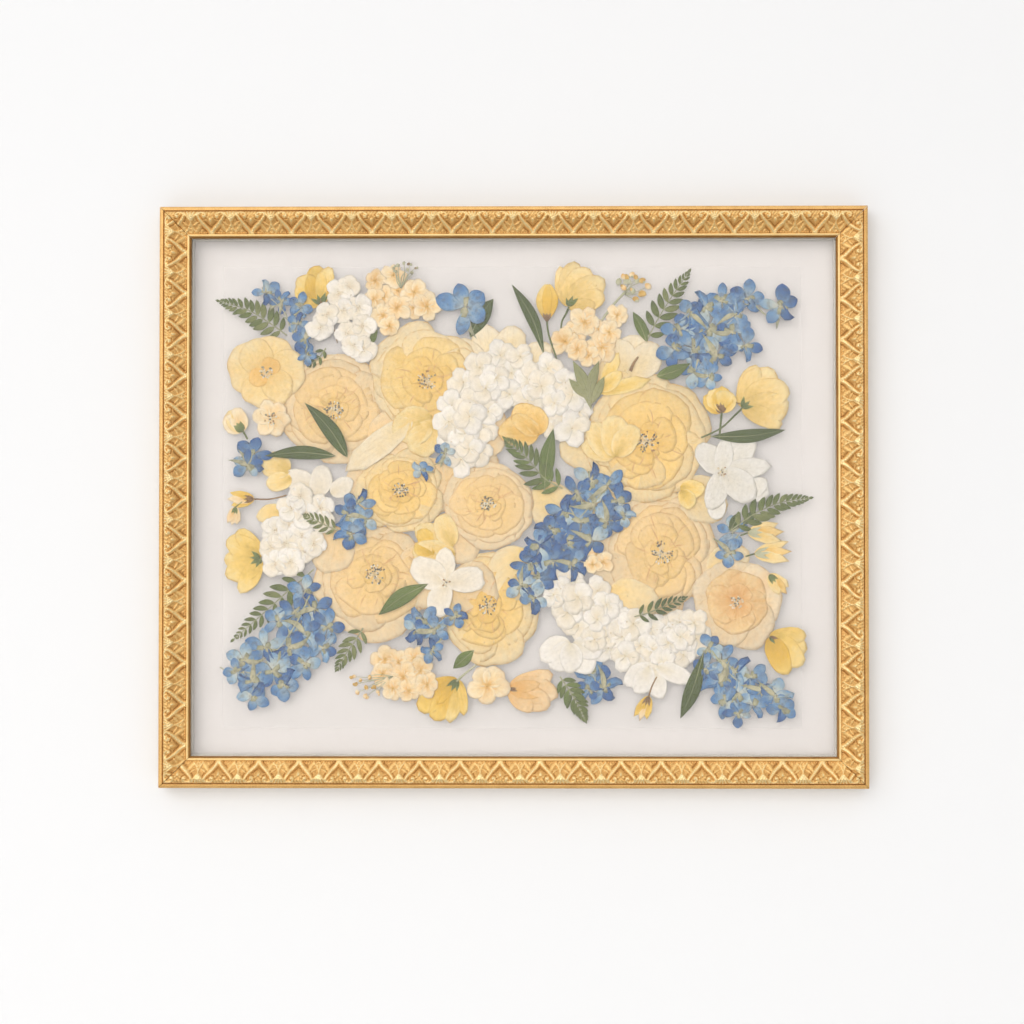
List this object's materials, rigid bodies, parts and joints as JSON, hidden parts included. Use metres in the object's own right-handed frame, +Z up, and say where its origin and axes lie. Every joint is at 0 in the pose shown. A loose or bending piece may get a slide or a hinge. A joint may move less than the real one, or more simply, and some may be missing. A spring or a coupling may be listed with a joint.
{
  "type": "pressed flower frame",
  "caption": "Wall frame of ornamented gilt moulding holding pressed flowers and ferns between two clear panes.",
  "frame": {"origin": "middle of the whole box, half way across, up and through the depth", "axes": "+Z up, +X to the right seen from the front, the face looks towards -Y, the wall is at +Y"},
  "size_m": [0.547, 0.0244, 0.449],
  "materials": {
    "gilt_moulding": "embossed moulding with worn gold leaf, satin",
    "clear_glass": "clear picture glass, polished",
    "clear_film": "thin clear film, smooth",
    "clear_spacer": "clear acrylic strip, sawn edges",
    "zinc_steel": "zinc-plated steel, dull",
    "soft_pad": "clear soft rubber, matte",
    "petal_peach": "dried petals, matte and veined",
    "petal_cream": "dried petals, matte and translucent",
    "petal_yellow": "dried petals, matte and creased",
    "petal_white": "dried petals, matte and papery",
    "petal_blue": "dried petals, matte, faded to white",
    "leaf_green": "dried leaves, matte grey-green"
  },
  "bodies": {
    "root": {"rail_top": "gilt_moulding", "rail_bottom": "gilt_moulding", "rail_left": "gilt_moulding", "rail_right": "gilt_moulding", "pane_front": "clear_glass", "pane_back": "clear_glass", "spacer_top": "clear_spacer", "spacer_bottom": "clear_spacer", "spacer_left": "clear_spacer", "spacer_right": "clear_spacer", "carrier_film": "clear_film", "glazing_point_1": "zinc_steel", "glazing_point_2": "zinc_steel", "glazing_point_3": "zinc_steel", "glazing_point_4": "zinc_steel", "glazing_point_5": "zinc_steel", "glazing_point_6": "zinc_steel", "glazing_point_7": "zinc_steel", "glazing_point_8": "zinc_steel", "sawtooth_hanger": "zinc_steel", "hanger_nail_left": "zinc_steel", "hanger_nail_right": "zinc_steel", "wall_pad_lower_left": "soft_pad", "wall_pad_lower_right": "soft_pad", "wall_pad_upper_left": "soft_pad", "wall_pad_upper_right": "soft_pad", "rose_peach_upper_left": "petal_peach", "rose_peach_lower_left": "petal_peach", "rose_peach_middle": "petal_peach", "rose_peach_right": "petal_peach", "rose_apricot_left": "petal_peach", "rose_apricot_lower_middle": "petal_cream", "rose_apricot_upper_right": "petal_cream", "rose_cream_upper_left": "petal_cream", "poppy_cream_left": "petal_cream", "poppy_cream_right": "petal_cream", "dogwood_white": "petal_white", "buttercup_upper_left": "petal_yellow", "poppy_yellow_upper": "petal_yellow", "buttercup_right": "petal_yellow", "buttercup_left": "petal_yellow", "buttercup_bottom": "petal_yellow", "bloom_peach_bottom": "petal_peach", "hydrangea_upper": "petal_white", "hydrangea_lower": "petal_white", "stock_upper_left": "petal_cream", "stock_upper_right": "petal_cream", "stock_lower": "petal_cream", "florets_white_upper_left": "petal_white", "florets_white_left": "petal_white", "delphinium_upper_left": "petal_blue", "delphinium_upper_right": "petal_blue", "delphinium_middle": "petal_blue", "delphinium_lower_left": "petal_blue", "delphinium_lower_right": "petal_blue", "fern_upper_left": "leaf_green", "fern_upper_right": "leaf_green", "fern_middle": "leaf_green", "fern_lower_left": "leaf_green", "leaf_pair_left": "leaf_green"}
  },
  "joints": []
}
